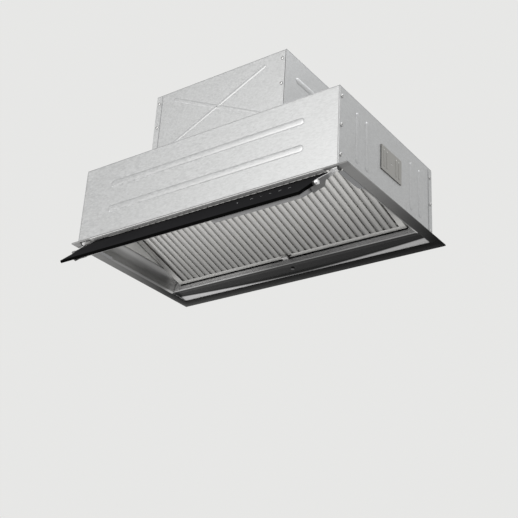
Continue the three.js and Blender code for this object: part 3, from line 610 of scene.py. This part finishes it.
def placed(part, origin, along, out):
    """A part turned so that its x runs along one direction and its z points out, and moved to a place."""
    points, faces = part
    along, out = np.array(along, float), np.array(out, float)
    return points @ np.stack([along, np.cross(out, along), out]) + np.array(origin), faces


def fixed(name, part, paint, node):
    """A detail that rides with the body of the node that it sits on."""
    piece = put(name, part, paint)
    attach(piece, nodes[node]["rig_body"])


lap_sheet = 0.8


def lap(length):
    """A strip over the corner where two sheets meet."""
    return bar(0, length, -6, 6, -0.2, lap_sheet)


left, right, forth, back, up = (-1, 0, 0), (1, 0, 0), (0, -1, 0), (0, 1, 0), (0, 0, 1)
side_x, casing_front, casing_rear, casing_top = 281.8, -169.7, 151.2, 151.3
corner_y = (-163.4, 144.8)      # of the laps and screws beside the casing's corners
beads = [placed(bead(430, 14, 1.2), (0, casing_front, z), right, forth) for z in (52, 104)]
beads += [placed(bead(430, 14, 1.2), (0, casing_rear, z), left, back) for z in (52, 104)]
beads += [placed(bead(96, 12, 1.1), (sign * side_x, y, 80), up, out)
          for sign, out in ((-1, left), (1, right)) for y in (-112, -80, 74, 106)]
beads += [placed(bead(190, 12, 1.1), (x, -34, casing_top), forth, up) for x in (-246, -192, 192, 246)]
laps = [placed(lap(144), (sign * side_x, y, 4), up, out)
        for sign, out in ((-1, left), (1, right)) for y in corner_y]
fixed("casing_beads", joined(*beads, *laps), zinc_sheet, "casing_top")
head = screw_head(3.4, 1.9)
screws = [placed(head, (sign * (side_x + lap_sheet), y, z), up, out)
          for sign, out in ((-1, left), (1, right)) for y in corner_y for z in (22, 77, 132)]
screws += [placed(head, (x, y, casing_top), (0.8, 0.6, 0), up)
           for y in (-161, 143) for x in (-262, -131, 0, 131, 262)]
screws += [placed(head, (x, casing_rear, z), (0.6, 0, 0.8), back)
           for z in (14, 138) for x in (-240, -80, 80, 240)]
fixed("casing_screws", joined(*screws), screw_steel, "casing_top")

box_front, box_rear, box_side, box_top = -140.0, 136.0, 150.0, 292.0
box_corner, foot_side, foot_top = 142.5, 155.0, 152.6
creases = [placed(bead(236, 7, 0.7), (0, y, 221), (0.9, 0, lean), out)
           for y, out in ((box_front, forth), (box_rear, back)) for lean in (-0.436, 0.436)]
creases += [placed(bead(210, 12, 1.1), (sign * box_side, -2, z), forth, out)
            for sign, out in ((-1, left), (1, right)) for z in (196, 246)]
creases += [placed(bead(210, 12, 1.1), (x, -2, box_top), forth, up) for x in (-120, 120)]
creases += [placed(lap(136), (x, y, 153), up, out)
            for y, out in ((box_front, forth), (box_rear, back)) for x in (-box_corner, box_corner)]
fixed("motor_box_beads", joined(*creases), zinc_sheet, "motor_box_top")
small_head = screw_head(3.2, 1.8)
screws = [placed(small_head, (x, y + lap_sheet * out[1], z), (0.7, 0, 0.714), out)
          for y, out in ((box_front, forth), (box_rear, back))
          for x in (-box_corner, box_corner) for z in (168, 221, 274)]
screws += [placed(small_head, (sign * foot_side, y, foot_top), (0.5, 0.866, 0), up)
           for sign in (-1, 1) for y in (-124, -44, 44, 124)]
screws += [placed(small_head, (x, y, box_top), (0.9, 0.436, 0), up)
           for x in (-138, 138) for y in (-128, 124)]
fixed("motor_box_screws", joined(*screws), screw_steel, "motor_box_top")

# ---- Front panel with lamp ----
# A folded steel sheet slopes from the casing's front to the filter's upper edge. It carries an aluminium
# lamp bar with a ribbed diffuser, and the filter hooks on the ledge behind it.
panel_steel = brushed("panel steel", (0.36, 0.36, 0.355), 0.3, "x")
for name in ("front_panel", "filter_ledge"):
    softened(name, panel_steel, "frame_steel", 0.3)
lamp_paint = material("lamp aluminium")
lamp_grain = lamp_paint.noise(700, 2, (0.03, 1, 1))
softened("lamp_bar", finish(
    lamp_paint, Base_Color=lamp_paint.mix(tint((0.5, 0.5, 0.51)), tint((0.6, 0.6, 0.61)), lamp_grain),
    Metallic=1.0, Roughness=lamp_grain * 0.12 + 0.3), "lamp_aluminium", 0.3)
lens_paint = material("lamp diffuser")
rib = lens_paint.node("TexWave", {"wave_profile": "SIN"}, {"Scale": 90.0, "Distortion": 0.0})
softened("lamp_lens", finish(
    lens_paint, Base_Color=lens_paint.mix(tint((0.78, 0.78, 0.76)), tint((0.86, 0.86, 0.84)), rib),
    Roughness=rib * 0.1 + 0.35, Normal=lens_paint.bump(rib, 0.3, 0.0004)), "lamp_diffuser", 0.3)

# ---- Grease filter ----
# Two rows of steel channels, one over the gaps of the other, in a flat frame; the lower ones are folded
# up on one side and rolled up on the other. It slopes down to the rear, where a strap locks it.
filter_slope = radians(15.4)
filter_rear = (99.5, 14.9)
slat_pitch = 14.0
slat_count = 35
slat_half = 5.5
slat_rise = 3.2
slat_fold = 1.1
slat_sheet = 0.8
slat_ends = np.array([-226.7, -8.3])
strap_x = 257.9
strap_ends = ((-234.9, -218.7), (-16.3, -1.1))


def on_filter(points):
    """From the filter's own frame, y along its slope and z to its back, to the hood's."""
    x, y, z = points[..., 0], points[..., 1], points[..., 2]
    return np.stack([x, filter_rear[0] + y * cos(filter_slope) + z * sin(filter_slope),
                     filter_rear[1] - y * sin(filter_slope) + z * cos(filter_slope)], -1)


def channels(channel, count, low, high):
    """A row of channels side by side, with a flat strap between two heights at each end of it."""
    offsets = np.column_stack([(np.arange(count) - (count - 1) / 2) * slat_pitch, np.zeros((count, 2))])
    straps = [bar(-strap_x, strap_x, *ends, low, high) for ends in strap_ends]
    points, faces = joined(repeated(channel, offsets), *straps)
    return on_filter(points), faces


roll_start, roll_width, roll_rise, roll_setback = 0.4, 8.3, 3.1, 2.2
roll_angle = np.linspace(0, pi / 2, 9)
roll = np.column_stack([roll_start - roll_width * np.cos(roll_angle), roll_rise * (1 - np.sin(roll_angle))])
slat_path = np.vstack([
    roll, rounded_path([roll[-1], [slat_half, 0], [slat_half, slat_rise]], [slat_fold], 4)[1:]])
slat_points, slat_faces = swept(sheet_outline(slat_path, slat_sheet), slat_ends)
rolled = np.clip((roll_start - slat_points[:, 0]) / roll_width, 0, 1)
slat_points[:, 1] -= np.sign(slat_points[:, 1] - slat_ends[0]) * roll_setback * rolled ** 2


def slat_painted_shade(paint):
    """Painted shade and highlight: the rolled side of each slat, which turns away from the light, is
    painted darker, and its folded side is painted bright at the edge. The place of a point between two
    slats is the fraction part of x over the pitch."""
    across = paint.place()[0] * (1000.0 / slat_pitch) + 100.5
    across = across.math("FRACT", across)
    folded = paint.smooth(across, 0.85, 0.885) * (1 - paint.smooth(across, 0.90, 0.91))
    return 1.0, paint.smooth(across, 0.0, 0.62) * 0.5 + folded * 0.6 + 0.5, 1.0


def latch_pocket_painted_shade(paint):
    """Painted shade of a pressed pocket in the rim beside the latch strap, where a finger goes."""
    x, y, _ = paint.place()
    side = paint.smooth(x, 0.0066, 0.0070) * (1 - paint.smooth(x, 0.0105, 0.0109))
    return side * paint.smooth(y, 0.0905, 0.0915), 0.2, 1.0


# Painted light and shade: the slats are painted lighter to the front and darker to the rear, and the rim
# lighter to the rear.
filter_painted_light = ((-0.09, 1.34), (0.11, 0.61))
filter_steel = brushed("filter steel", (0.66, 0.657, 0.64), 0.3, "y", painted_light=filter_painted_light, metal=0.75,
                       patch=slat_painted_shade)
baffle_steel = brushed("baffle steel", (0.8, 0.797, 0.78), 0.35, "y", painted_light=filter_painted_light, metal=0.4)
rim_steel = brushed("filter rim steel", (0.62, 0.617, 0.60), 0.32, "x",
                    painted_light=((0.05, 0.72), (0.09, 1.12)), metal=0.7, patch=latch_pocket_painted_shade)
lower_row = channels((slat_points, slat_faces), slat_count, 3.2, 4.0)
stands_for(put("filter_slats", lower_row, filter_steel), "filter_steel", "filter_face")

upper_half, upper_foot = 4.5, 6.6
upper_path = rounded_path(
    [[-upper_half, upper_foot], [-upper_half, upper_foot + slat_rise],
     [upper_half, upper_foot + slat_rise], [upper_half, upper_foot]], [slat_fold, slat_fold], 4)
upper_row = channels(swept(sheet_outline(upper_path, -slat_sheet), slat_ends), slat_count + 1, 10.3, 11.1)
stands_for(put("filter_upper_slats", upper_row, baffle_steel), "filter_steel", "filter_baffles")
softened("filter_frame", rim_steel, "filter_steel", 0.3)
latch_steel = brushed("latch steel", (0.8, 0.8, 0.79), 0.25, "y", metal=0.5)
softened("filter_latch", latch_steel, "polished_steel", 0.3, 3)

# ---- Glass flap ----
# Toughened black glass with ground edges. A print on its face has a pilot light and five touch marks.
open_angle = radians(136.8)
pivot = (-160.0, 1.0)
glass_half = 253.5
glass_start, glass_end = -6.0, 101.9
glass_face, glass_back = 2.1, 7.1
glass_corner, glass_ground = 1.6, 0.8
mark_face = glass_face - 0.06   # of the print


def on_flap(points):
    """From the flap's own frame, y from the pivot down the glass and z to its back, to the hood's."""
    x, y, z = points[..., 0], points[..., 1], points[..., 2]
    return np.stack([x, pivot[0] + y * cos(open_angle) + z * sin(open_angle),
                     pivot[1] - y * sin(open_angle) + z * cos(open_angle)], -1)


def rounded_slab(x0, x1, y0, y1, z0, z1, corner, edge, steps=6):
    """A slab whose outline is a rectangle with round corners, and whose rims are rounded: each ring is
    the outline drawn in by edge * (1 - cos a) at a height of edge * (1 - sin a) from the face."""
    turn = np.radians(np.arange(4)[:, None] * 90 + np.linspace(0, 90, steps + 1)[None]).ravel()
    centre_x = np.repeat([x1 - corner, x0 + corner, x0 + corner, x1 - corner], steps + 1)
    centre_y = np.repeat([y1 - corner, y1 - corner, y0 + corner, y0 + corner], steps + 1)
    angle = np.radians([90, 60, 30, 0])
    draw = np.concatenate([edge * (1 - np.cos(angle)), edge * (1 - np.cos(angle[::-1]))])
    height = np.concatenate([z0 + edge * (1 - np.sin(angle)), z1 - edge * (1 - np.sin(angle[::-1]))])
    radius = corner - draw[:, None]
    points = np.stack([centre_x + radius * np.cos(turn), centre_y + radius * np.sin(turn),
                       np.broadcast_to(height[:, None], radius.shape[:1] + turn.shape)], -1)
    return grid(points, True, True)


glass_paint = material("black glass")
smear = glass_paint.noise(14, 3)


def flap_place(paint):
    """A point in the flap's own frame, in metres: x, the way down the glass, and the way to its back."""
    x, y, z = paint.place()
    y, z = y - pivot[0] * millimetre, z - pivot[1] * millimetre
    return x, y * cos(open_angle) - z * sin(open_angle), y * sin(open_angle) + z * cos(open_angle)


glass_x, glass_along, _ = flap_place(glass_paint)
rim = glass_paint.node("Math", {"operation": "MAXIMUM"}, {
    0: glass_paint.smooth(glass_along, 0.1008, 0.1014), 1: glass_paint.smooth(abs(glass_x), 0.2525, 0.2529)})
ink = glass_paint.mix(tint((0.015, 0.015, 0.016)), tint((0.019, 0.019, 0.02)), smear)
black_glass = finish(
    glass_paint, Base_Color=glass_paint.mix(ink, tint((0.004, 0.004, 0.004)), rim),
    Roughness=smear * 0.1 + 0.3, Specular_IOR_Level=0.0)
mirror = glass_paint.node("BsdfPrincipled", None, {
    "Base Color": (0.9, 0.9, 0.9, 1), "Metallic": 1.0, "Roughness": smear * 0.02 + 0.03})
facing = glass_paint.node("LayerWeight", None, {"Blend": 0.5}, "Facing")
gloss = (1 - glass_paint.smooth(facing, 0.45, 0.8)) * (1 - rim) * 0.055
glass_paint.fill(glass_paint.tree.nodes["Material Output"], {"Surface": glass_paint.node("MixShader", None, {
    0: gloss, 1: Value(glass_paint, glass_paint.tree.nodes["Principled BSDF"].outputs[0]), 2: mirror})})
points, faces = rounded_slab(-glass_half, glass_half, glass_start, glass_end, glass_face, glass_back,
                             glass_corner, glass_ground)
stands_for(put("glass_panel", (on_flap(points), faces), black_glass), "black_glass", "flap_glass")


def ring_mark(x, y, outer, inner, steps=24):
    """A flat ring printed on the face, round a point: circles of the outer and the inner radius, each
    at the height of the face and at that of the ink."""
    turn = np.linspace(0, 2 * pi, steps, endpoint=False)
    radii = np.array([outer, outer, inner, inner, outer])
    heights = np.array([glass_face, mark_face, mark_face, glass_face, glass_face])
    circle = np.stack([x + radii[:, None] * np.cos(turn), y + radii[:, None] * np.sin(turn),
                       np.broadcast_to(heights[:, None], (5, steps))], -1)
    return grid(circle, True)


mark_y, mark_reach, stroke = 42.0, 2.2, 0.35
mark_x = 131.4 + 18.4 * np.arange(5)
marks = [ring_mark(mark_x[0], mark_y, 2.4, 1.7), ring_mark(mark_x[4], mark_y, 2.4, 1.7)]
marks += [bar(x - reach, x + reach, mark_y - stroke, mark_y + stroke, mark_face, glass_face)
          for x, reach in zip(mark_x, (0.9, mark_reach, mark_reach, mark_reach))]
marks += [bar(mark_x[2] - stroke, mark_x[2] + stroke, mark_y - mark_reach, mark_y + mark_reach,
              mark_face - 0.02, glass_face)]
marks += [bar(mark_x[3] - mark_reach, mark_x[3] + mark_reach, y - stroke, y + stroke, mark_face, glass_face)
          for y in (mark_y - 1.7, mark_y + 1.7)]
points, faces = joined(*marks)
ink_paint = material("pale print")
ink_grain = ink_paint.noise(2500, 2)
pale_print = finish(
    ink_paint, Base_Color=ink_paint.mix(tint((0.3, 0.3, 0.3)), tint((0.4, 0.4, 0.4)), ink_grain),
    Roughness=0.6)
touch_marks = put("touch_marks", (on_flap(points), faces), pale_print)
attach(touch_marks, nodes["flap_glass"]["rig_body"])
points, faces = ring_mark(102.1, mark_y - 0.9, 1.2, 0.05)
lamp_ink = material("pilot light")
pilot_grain = lamp_ink.noise(2500, 2)
pilot_light = finish(
    lamp_ink, Base_Color=lamp_ink.mix(tint((0.75, 0.76, 0.78)), tint((0.85, 0.86, 0.88)), pilot_grain),
    Roughness=0.4)
pilot = put("pilot_light", (on_flap(points), faces), pilot_light)
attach(pilot, nodes["flap_glass"]["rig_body"])

# ---- Control housing and carrier ----
# A grey moulded box on the back of the glass holds the touch board; the rest of the glass is stiffened by
# a folded sheet.
grey_paint = material("grey plastic")
grain = grey_paint.noise(1800, 2)
grey_plastic = finish(
    grey_paint, Base_Color=grey_paint.mix(tint((0.24, 0.24, 0.242)), tint((0.28, 0.28, 0.282)), grain),
    Roughness=grain * 0.1 + 0.45, Normal=grey_paint.bump(grain, 0.15, 0.0003))
softened("control_housing", grey_plastic, "grey_plastic", 0.8, 3)
carrier_steel = brushed("carrier steel", (0.10, 0.10, 0.10), 0.3, "x")
carrier_left, carrier_right, pad, carrier_back = -252.5, 82.2, 7.4, 15.4
low_length, low_share = 36.0, 0.12      # of the low left end, and of the full height there
carrier_path = rounded_path([[90.2, 9.4], [58.2, carrier_back], [12, carrier_back], [12, pad]], [6.0, 1.6])
carrier_x = np.concatenate([np.linspace(carrier_left, carrier_left + low_length, 13), [carrier_right]])
climb = np.sin(np.clip((carrier_x - carrier_left) / low_length, 0, 1) * pi / 2)
height = low_share + (1 - low_share) * climb
outline = sheet_outline(carrier_path, sheet)
carrier_size = len(carrier_x), len(outline)
carrier = grid(on_flap(np.stack([
    np.broadcast_to(carrier_x[:, None], carrier_size), np.broadcast_to(outline[:, 0], carrier_size),
    pad + (outline[:, 1] - pad) * height[:, None]], -1)), True, True)
stands_for(put("flap_carrier_sheet", carrier, carrier_steel), "dark_steel", "flap_carrier")
ribs = [placed(bead(110, 9, 1.0), (x, 35, carrier_back), right, up) for x in (-140, 0)]
points, faces = joined(*ribs)
fixed("carrier_ribs", (on_flap(points), faces), carrier_steel, "flap_carrier")

# ---- Arms and clamp studs ----
# Pressed steel arms run beside the ends of the glass and bend out to barrels on the pivot pins, which
# carry a painted highlight. A turned stud is riveted through each arm, and a tab behind carries the glass.
stud_start, stud_foot, stud_end = 254.6, 257.4, 263.8
stud_along, stud_up = 51.8, 4.1


def arm_painted_highlights(paint):
    """Painted highlights: the barrel by the pivot and the arm's front edge are painted bright, the left
    barrel less; the flank is duller.
    """
    x, down, rise = flap_place(paint)
    barrel = (1 - paint.smooth(down, 0.006, 0.02)) * (paint.smooth(x, -0.1, 0.1) * 0.85 + 0.15)
    edge = (1 - paint.smooth(rise, 0.0012, 0.0019)) * (1 - paint.smooth(down, 0.044, 0.046))
    return paint.node("Math", {"operation": "MAXIMUM"}, {0: barrel, 1: edge}), 5.0, 0.8


def left_stud_painted_shade(paint):
    """Painted shade on the left stud, which stands in the shade."""
    return 1 - paint.smooth(paint.place()[0], -0.1, 0.1), 0.3, 1.0


def turned(profile, steps=32):
    """A turned part about x from a profile of (x, radius): each point sweeps a circle."""
    turn = np.linspace(0, 2 * pi, steps, endpoint=False)
    x, radius = profile[:, :1], profile[:, 1:]
    return np.stack([np.broadcast_to(x, (len(profile), steps)),
                     radius * np.cos(turn), radius * np.sin(turn)], -1)


stud_profile = np.array([
    [stud_start, 1.9], [stud_start + 0.3, 2.2], [stud_foot, 2.2], [stud_foot, 3.3], [stud_foot + 0.5, 3.9],
    [stud_foot + 2.4, 3.9], [stud_foot + 2.7, 3.55], [stud_foot + 3.3, 3.55], [stud_foot + 3.6, 3.9],
    [stud_end - 0.7, 3.9], [stud_end - 0.2, 3.6], [stud_end, 3.0], [stud_end, 1.2], [stud_end - 0.5, 0.8]])
arm_steel = brushed("arm steel", (0.17, 0.17, 0.17), 0.25, "y", metal=0.7, patch=arm_painted_highlights)
stud_steel = brushed("stud steel", (0.88, 0.88, 0.88), 0.2, "x", metal=0.6, patch=left_stud_painted_shade)
for side, sign in (("left", -1), ("right", 1)):
    softened(f"arm_{side}", arm_steel, "polished_steel", 0.5, 3)
    stud = (turned(stud_profile) + [0, stud_along, stud_up]) * [sign, 1, 1]
    stands_for(put(f"stud_{side}", grid(on_flap(stud), True, True), stud_steel), "polished_steel",
               f"clamp_stud_{side}")

# ---- Pivots ----
# A pin through a nosed ear beside each front corner, and a switch that tells whether the flap is open.
ear_steel = brushed("ear steel", (0.12, 0.12, 0.12), 0.3, "z", metal=0.7)
for side in ("left", "right"):
    softened(f"pivot_ear_{side}", ear_steel, "polished_steel", 0.3)
    softened(f"pivot_pin_{side}", zinc_sheet, "zinc_sheet", 0.3)
black_paint = material("black plastic")
fleck = black_paint.noise(1500, 2)
black_plastic = finish(
    black_paint, Base_Color=black_paint.mix(tint((0.014, 0.014, 0.015)), tint((0.022, 0.022, 0.023)), fleck),
    Roughness=fleck * 0.15 + 0.42, Normal=black_paint.bump(fleck, 0.2, 0.0003))
softened("flap_sensor", black_plastic, "black_plastic", 0.5)

# ---- Blower ----
# A black wheel drawn through by a motor on three arms, in a scroll of galvanised sheet.
for name in ("scroll_band", "scroll_side_left", "scroll_side_right", "motor_bracket"):
    softened(name, zinc_sheet, "zinc_sheet", 0.3)
softened("blower_wheel", black_plastic, "black_plastic", 0.2)
cast_paint = material("cast motor")
pits = cast_paint.noise(420, 3)
softened("motor", finish(
    cast_paint, Base_Color=cast_paint.mix(tint((0.32, 0.32, 0.33)), tint((0.4, 0.4, 0.41)), pits),
    Metallic=0.9, Roughness=pits * 0.2 + 0.42,
    Normal=cast_paint.bump(pits, 0.3, 0.0005)), "motor_casting", 0.8)

# ---- Duct collar and non-return flaps ----
# A black moulded collar takes a 150 mm duct; two half-round flaps on one axle shut it when no air flows.
for name in ("duct_collar", "damper_front", "damper_rear"):
    softened(name, black_plastic, "black_plastic", 0.4)
softened("damper_axle", zinc_sheet, "zinc_sheet", 0.2)
collar_centre = np.array([0.0, 52.0, 0.0])
duct_radius, ring_inset, ring_rise, ring_half = 75.0, 0.4, 1.2, 1.6
collar_flange, flange_screws = 294.3, 83.0      # height of the flange, and radius of its screws
turn = np.linspace(0, 2 * pi, 96, endpoint=False)
swell = np.linspace(0, pi, 7)
rings = []
for height in (308.0, 338.0):
    radius = (duct_radius - ring_inset + ring_rise * np.sin(swell))[:, None]
    level = np.broadcast_to(height - ring_half * np.cos(swell)[:, None], (7, 96))
    wave = np.stack([radius * np.cos(turn), radius * np.sin(turn), level], -1)
    inner = wave[[-1, 0]] * [0.994, 0.994, 1]
    rings.append(grid(collar_centre + np.concatenate([wave, inner, wave[:1]]), True))
fixed("collar_rings", joined(*rings), black_plastic, "duct_collar")
heads = []
for angle in np.radians([40, 140, 220, 320]):
    origin = collar_centre + [flange_screws * cos(angle), flange_screws * sin(angle), collar_flange]
    heads.append(placed(small_head, origin, (cos(angle + 1), sin(angle + 1), 0), up))
fixed("collar_screws", joined(*heads), screw_steel, "duct_collar")

# ---- Electrics ----
# A control unit on the rear wall, its boards, and the gland in the casing's top for the mains lead.
for name in ("control_unit", "control_unit_lid", "cable_gland", "gland_nut"):
    softened(name, black_plastic, "black_plastic", 0.6)
board_paint = material("circuit board")
track = board_paint.noise(240, 2, (1, 0.2, 1))
board = finish(
    board_paint, Roughness=track * 0.2 + 0.35, Base_Color=board_paint.mix(
        tint((0.012, 0.09, 0.04)), tint((0.02, 0.15, 0.07)), board_paint.smooth(track, 0.48, 0.54)))
for name in ("control_board", "power_board"):
    softened(name, board, "circuit_board", 0.1)

# ---- Cabinet clamps ----
# A screw inside the casing presses each plate on the cabinet's side.
clamp_face, clamp_middle = 283.7, 86.0
clamp_steel = brushed("clamp steel", (0.34, 0.335, 0.32), 0.32, "z", metal=0.9)
for side, sign in (("left", -1), ("right", 1)):
    softened(f"side_clamp_{side}", clamp_steel, "zinc_sheet", 0.4)
    ribs = [placed(bead(34, 5, 0.9), (sign * clamp_face, y, clamp_middle), up, (sign, 0, 0))
            for y in (-26, -16, 16, 26)]
    fixed(f"clamp_ribs_{side}", joined(*ribs), clamp_steel, f"side_clamp_{side}")
    softened(f"clamp_screw_{side}", screw_steel, "polished_steel", 0.3)
